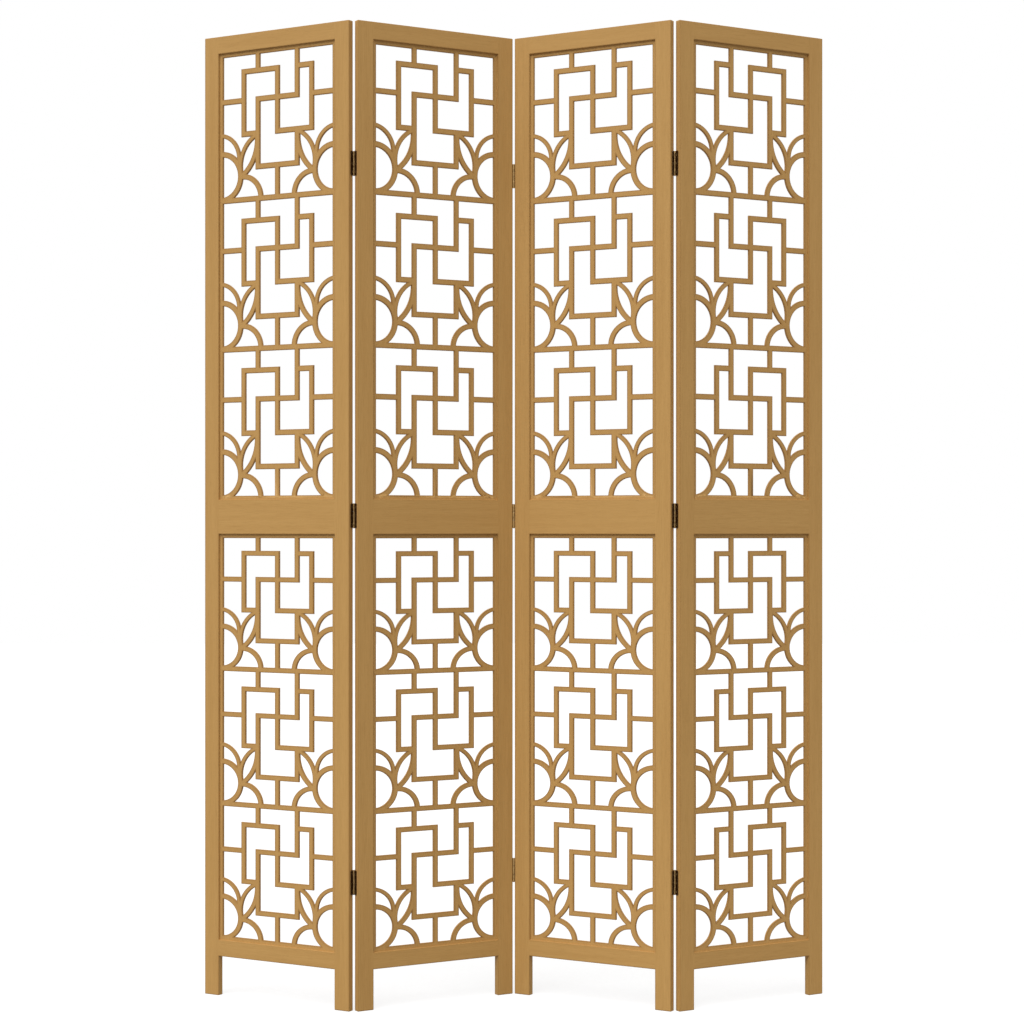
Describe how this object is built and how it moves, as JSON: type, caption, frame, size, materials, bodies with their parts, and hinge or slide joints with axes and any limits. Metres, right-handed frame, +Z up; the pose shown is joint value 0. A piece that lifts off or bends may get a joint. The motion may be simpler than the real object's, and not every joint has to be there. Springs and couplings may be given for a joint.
{
  "type": "folding room divider",
  "caption": "Free-standing folding room divider of slim wooden frames filled with open geometric and leaf fretwork, hinged edge to edge.",
  "frame": {"origin": "middle of the ground that the folded-out screen covers, at floor level", "axes": "+Z up, +X to the viewer's right along the screen, +Y away from the viewer, who sees the front"},
  "size_m": [1.293, 0.1984, 2],
  "materials": {
    "frame_wood": "light brown stain, matt",
    "fretwork_wood": "light brown stain, matt",
    "hinge_metal": "dark bronze plating, satin"
  },
  "bodies": {
    "panel_1": {"panel_1_left_stile": "frame_wood", "panel_1_right_stile": "frame_wood", "panel_1_top_rail": "frame_wood", "panel_1_middle_rail": "frame_wood", "panel_1_bottom_rail": "frame_wood", "panel_1_upper_fretwork": "fretwork_wood", "panel_1_lower_fretwork": "fretwork_wood", "fold_1_top_hinge_left_leaf": "hinge_metal", "fold_1_top_hinge_pin": "hinge_metal", "fold_1_middle_hinge_left_leaf": "hinge_metal", "fold_1_middle_hinge_pin": "hinge_metal", "fold_1_bottom_hinge_left_leaf": "hinge_metal", "fold_1_bottom_hinge_pin": "hinge_metal"},
    "panel_2": {"panel_2_left_stile": "frame_wood", "panel_2_right_stile": "frame_wood", "panel_2_top_rail": "frame_wood", "panel_2_middle_rail": "frame_wood", "panel_2_bottom_rail": "frame_wood", "panel_2_upper_fretwork": "fretwork_wood", "panel_2_lower_fretwork": "fretwork_wood", "fold_2_top_hinge_left_leaf": "hinge_metal", "fold_2_top_hinge_pin": "hinge_metal", "fold_2_middle_hinge_left_leaf": "hinge_metal", "fold_2_middle_hinge_pin": "hinge_metal", "fold_2_bottom_hinge_left_leaf": "hinge_metal", "fold_2_bottom_hinge_pin": "hinge_metal", "fold_1_top_hinge_right_leaf": "hinge_metal", "fold_1_middle_hinge_right_leaf": "hinge_metal", "fold_1_bottom_hinge_right_leaf": "hinge_metal"},
    "panel_3": {"panel_3_left_stile": "frame_wood", "panel_3_right_stile": "frame_wood", "panel_3_top_rail": "frame_wood", "panel_3_middle_rail": "frame_wood", "panel_3_bottom_rail": "frame_wood", "panel_3_upper_fretwork": "fretwork_wood", "panel_3_lower_fretwork": "fretwork_wood", "fold_3_top_hinge_left_leaf": "hinge_metal", "fold_3_top_hinge_pin": "hinge_metal", "fold_3_middle_hinge_left_leaf": "hinge_metal", "fold_3_middle_hinge_pin": "hinge_metal", "fold_3_bottom_hinge_left_leaf": "hinge_metal", "fold_3_bottom_hinge_pin": "hinge_metal", "fold_2_top_hinge_right_leaf": "hinge_metal", "fold_2_middle_hinge_right_leaf": "hinge_metal", "fold_2_bottom_hinge_right_leaf": "hinge_metal"},
    "panel_4": {"panel_4_left_stile": "frame_wood", "panel_4_right_stile": "frame_wood", "panel_4_top_rail": "frame_wood", "panel_4_middle_rail": "frame_wood", "panel_4_bottom_rail": "frame_wood", "panel_4_upper_fretwork": "fretwork_wood", "panel_4_lower_fretwork": "fretwork_wood", "fold_3_top_hinge_right_leaf": "hinge_metal", "fold_3_middle_hinge_right_leaf": "hinge_metal", "fold_3_bottom_hinge_right_leaf": "hinge_metal"}
  },
  "joints": [
    {"name": "fold_1_2", "type": "hinge", "parent": "panel_1", "child": "panel_2", "pos_m": [-0.32432, -0.08654, 1], "axis": [0, 0, 1], "range_deg": [-61.6, 118.4]},
    {"name": "fold_2_3", "type": "hinge", "parent": "panel_2", "child": "panel_3", "pos_m": [0, 0.08654, 1], "axis": [0, 0, -1], "range_deg": [-61.6, 118.4]},
    {"name": "fold_3_4", "type": "hinge", "parent": "panel_3", "child": "panel_4", "pos_m": [0.32432, -0.08654, 1], "axis": [0, 0, 1], "range_deg": [-61.6, 118.4]}
  ]
}
